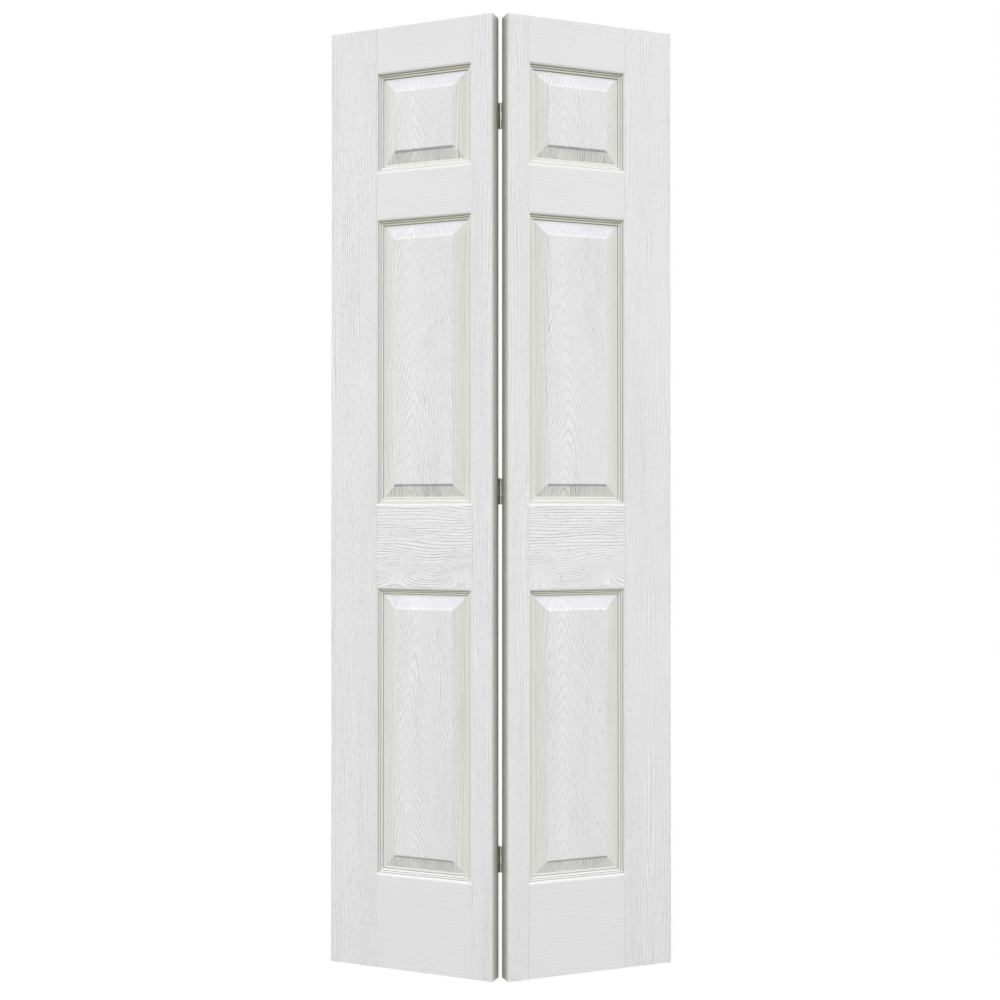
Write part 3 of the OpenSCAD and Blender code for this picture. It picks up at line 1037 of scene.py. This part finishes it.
# %% [markdown]
# ## Raw board and paper
# The sawn rims of the facings, and the block that takes a knob, are pressed wood fibre: brown, matt
# and finely speckled. The honeycomb inside is kraft paper. Both finishes are one speckle group at
# two sizes.

# %% Fibre speckle as a node group
CLOUD_SCALE = 0.07


def build_fibre_speckle():
    tree, inputs, outputs = new_group(
        "fibre_speckle", {"Grain Size": 1 * MM}, ["Speckle", "Cloud"]
    )
    point = surface_point(tree)
    scale = calc(tree, "DIVIDE", 1, inputs["Grain Size"])
    fine = noise_at(tree, point, scale, 3.0, 0.65)
    cloud = noise_at(tree, point, times(tree, scale, CLOUD_SCALE))
    put_out(tree, outputs, Speckle=remap(tree, fine, *NOISE_SPAN, 0.0, 1.0), Cloud=cloud)


build_fibre_speckle()
print("group fibre_speckle")

# %% Materials of raw board and paper
BOARD_TONES = ((0.50, 0.36, 0.22, 1), (0.27, 0.17, 0.09, 1))
PAPER_TONES = ((0.62, 0.48, 0.31, 1), (0.42, 0.30, 0.18, 1))
SPECKLE_DEPTH = 0.08


def fibre_finish(name, tones, grain_size, roughness):
    material, tree, shader = new_material(name)
    fibre = use_group(tree, "fibre_speckle", Grain_Size=grain_size)
    speckle = times(tree, fibre["Speckle"], 0.5)
    amount = times_plus(tree, fibre["Cloud"], 0.5, speckle)
    feed(tree, shader["Base Color"], mix_colour(tree, amount, *tones))
    shader["Roughness"].default_value = roughness
    feed(tree, shader["Normal"], bump(tree, times(tree, fibre["Speckle"], SPECKLE_DEPTH)))
    return material


raw_board = fibre_finish("raw_board", BOARD_TONES, 0.7 * MM, 0.85)
for piece in facings:
    piece.data.materials[RAW] = raw_board
finish_nodes([f"{side}_knob_block" for side in SIDES], raw_board)
kraft_paper = fibre_finish("kraft_paper", PAPER_TONES, 1.6 * MM, 0.9)
finish_nodes([f"{side}_core" for side in SIDES], kraft_paper)

# %% [markdown]
# ## Hinges
# The hinges are stamped steel with zinc plating. Rolling leaves faint streaks along the sheet, and
# plating leaves a soft mottle, so roughness and tone vary with both. The knuckles are the sheet's
# own end, curled round the pin. A narrow dark strip of painted shadow on the front of each barrel,
# beside the left leaf, stands for the shade in the gap there. The strip is found from its distance
# to the fold axis.

# %% Material of the hinges
ALONG_SHEET = (1.0, 1.0, 0.04)
MOTTLE_SCALE = 260.0
# Where the painted shadow on the barrels lies, and its colour.
BARREL_SHADOW_X = (-3.6 * MM, -0.6 * MM)
BARREL_SHADOW_TONE = (0.03, 0.03, 0.028, 1)
DULL = 0.72
STREAK_DEPTH = 0.01
ZINC_ROUGHNESS = (0.30, 0.46)


def build_rolled_metal():
    tree, inputs, outputs = new_group(
        "rolled_metal", {"Streak Size": 0.4 * MM}, ["Streaks", "Mottle"]
    )
    point = surface_point(tree)
    stretched = wire(tree, "ShaderNodeMapping", named={"Vector": point, "Scale": ALONG_SHEET})
    streaks = noise_at(tree, stretched, calc(tree, "DIVIDE", 1, inputs["Streak Size"]))
    put_out(tree, outputs, Streaks=streaks, Mottle=noise_at(tree, point, MOTTLE_SCALE))


def barrel_shadow(tree):
    """1 in the painted shadow at the left of a barrel's front, 0 elsewhere."""
    point = split_xyz(tree, surface_point(tree))
    beside = between(tree, point["X"], *BARREL_SHADOW_X)
    return times(tree, beside, calc(tree, "LESS_THAN", point["Y"], pin.y))


def zinc(name, tone, streak_size):
    material, tree, shader = new_material(name)
    metal = use_group(tree, "rolled_metal", Streak_Size=streak_size)
    dull = tuple(DULL * c for c in tone[:3]) + (1,)
    plating = mix_colour(tree, metal["Mottle"], tone, dull)
    # Painted shadow at the left of the barrel's front.
    feed(tree, shader["Base Color"], mix_colour(tree, barrel_shadow(tree), plating, BARREL_SHADOW_TONE))
    shader["Metallic"].default_value = 1.0
    roughness = remap(tree, metal["Streaks"], *NOISE_SPAN, *ZINC_ROUGHNESS)
    feed(tree, shader["Roughness"], roughness)
    feed(tree, shader["Normal"], bump(tree, times(tree, metal["Streaks"], STREAK_DEPTH)))
    return material


build_rolled_metal()
print("group rolled_metal")

# %% Dress the hinges
HINGES = ("top_hinge", "middle_hinge", "bottom_hinge")
plate_zinc = zinc("plate_zinc", (0.69, 0.68, 0.63, 1), 0.4 * MM)
pin_zinc = zinc("pin_zinc", (0.69, 0.68, 0.64, 1), 0.2 * MM)
screw_zinc = zinc("screw_zinc", (0.45, 0.44, 0.42, 1), 0.3 * MM)
plates = [f"{hinge}_{side}_plate" for hinge in HINGES for side in SIDES]
finish_nodes(plates, plate_zinc)
finish_nodes([f"{hinge}_pin" for hinge in HINGES], pin_zinc)
finish_nodes([f"{side}_hinge_screws" for side in SIDES], screw_zinc)

# %% [markdown]
# ## The studio
# The pair stands on a plain pale floor before a white backdrop. Every lamp is broad and soft. One
# is high overhead and the key is half-way down, which makes the upper bevels bright and the lower
# ones grey. Two pairs stand in front and at the sides, so that neither leaf is darker than the
# other, and a low pair reaches the long edges in the slit. One more lights the back. The last three
# are kept out of reflections, or the hinge plates would glare from behind.

# %% Floor and backdrop
WORLD_LIGHT = 0.01
FLOOR_HALF = 8.0
FLOOR_TONE = 0.2
FLOOR_GLOW = 0.82
FLOOR_DROP = 0.0004


def background_seen(tree):
    """1 where a ray from the lens, a mirror or glass looks, 0 where the scene is lit."""
    rays = tree.nodes.new("ShaderNodeLightPath").outputs
    bent = calc(tree, "MAXIMUM", rays["Is Glossy Ray"], rays["Is Transmission Ray"])
    return calc(tree, "MAXIMUM", rays["Is Camera Ray"], bent)


def build_floor():
    grid = bmesh.new()
    bmesh.ops.create_grid(grid, x_segments=4, y_segments=4, size=FLOOR_HALF)
    data = bpy.data.meshes.new("studio_floor")
    grid.to_mesh(data)
    grid.free()
    floor = bpy.data.objects.new("studio_floor", data)
    floor.location.z = -FLOOR_DROP
    bpy.context.scene.collection.objects.link(floor)
    material, tree, shader = new_material("studio_floor")
    shader["Base Color"].default_value = (FLOOR_TONE, FLOOR_TONE, FLOOR_TONE, 1)
    shader["Roughness"].default_value = 0.9
    shader["Specular IOR Level"].default_value = 0.0
    feed(tree, shader["Emission Strength"], times(tree, background_seen(tree), FLOOR_GLOW))
    shader["Emission Color"].default_value = (1, 1, 1, 1)
    data.materials.append(material)


build_floor()
world = bpy.data.worlds.new("studio")
bpy.context.scene.world = world
world.use_nodes = True
tree = world.node_tree
strength = remap(tree, background_seen(tree), 0.0, 1.0, WORLD_LIGHT, 1.0)
tree.nodes["Background"].inputs["Color"].default_value = (1, 1, 1, 1)
feed(tree, tree.nodes["Background"].inputs["Strength"], strength)
print("backdrop set")

# %% Lamps
LAMPS = {  # azimuth, elevation and spread in degrees, strength, whether metal mirrors it
    "high": (0, 80, 30, 0.42, True), "key": (0, 45, 30, 1.77, True),
    "front_left": (-45, 10, 30, 0.70, True), "front_right": (45, 10, 30, 0.70, True),
    "side_left": (-75, 20, 30, 0.74, True), "side_right": (75, 20, 30, 0.74, True),
    "edge_left": (-100, 2, 30, 0.80, False), "edge_right": (100, 2, 30, 0.80, False),
    "back": (180, 12, 40, 2.2, False),
}
LAMP_FAR = 4.0

for name, (azimuth, elevation, spread, strength, mirrored) in LAMPS.items():
    data = bpy.data.lights.new(name, "SUN")
    data.angle = math.radians(spread)
    data.energy = strength
    a, e = math.radians(azimuth), math.radians(elevation)
    away = Vector((math.sin(a) * math.cos(e), -math.cos(a) * math.cos(e), math.sin(e)))
    lamp = bpy.data.objects.new(name, data)
    lamp.visible_glossy = mirrored
    lamp.location = Vector((0, 0, door_h / 2)) + LAMP_FAR * away
    lamp.rotation_euler = away.to_track_quat("Z", "Y").to_euler()
    bpy.context.scene.collection.objects.link(lamp)
bpy.context.scene.view_settings.view_transform = "Standard"
print("lamps:", list(LAMPS))
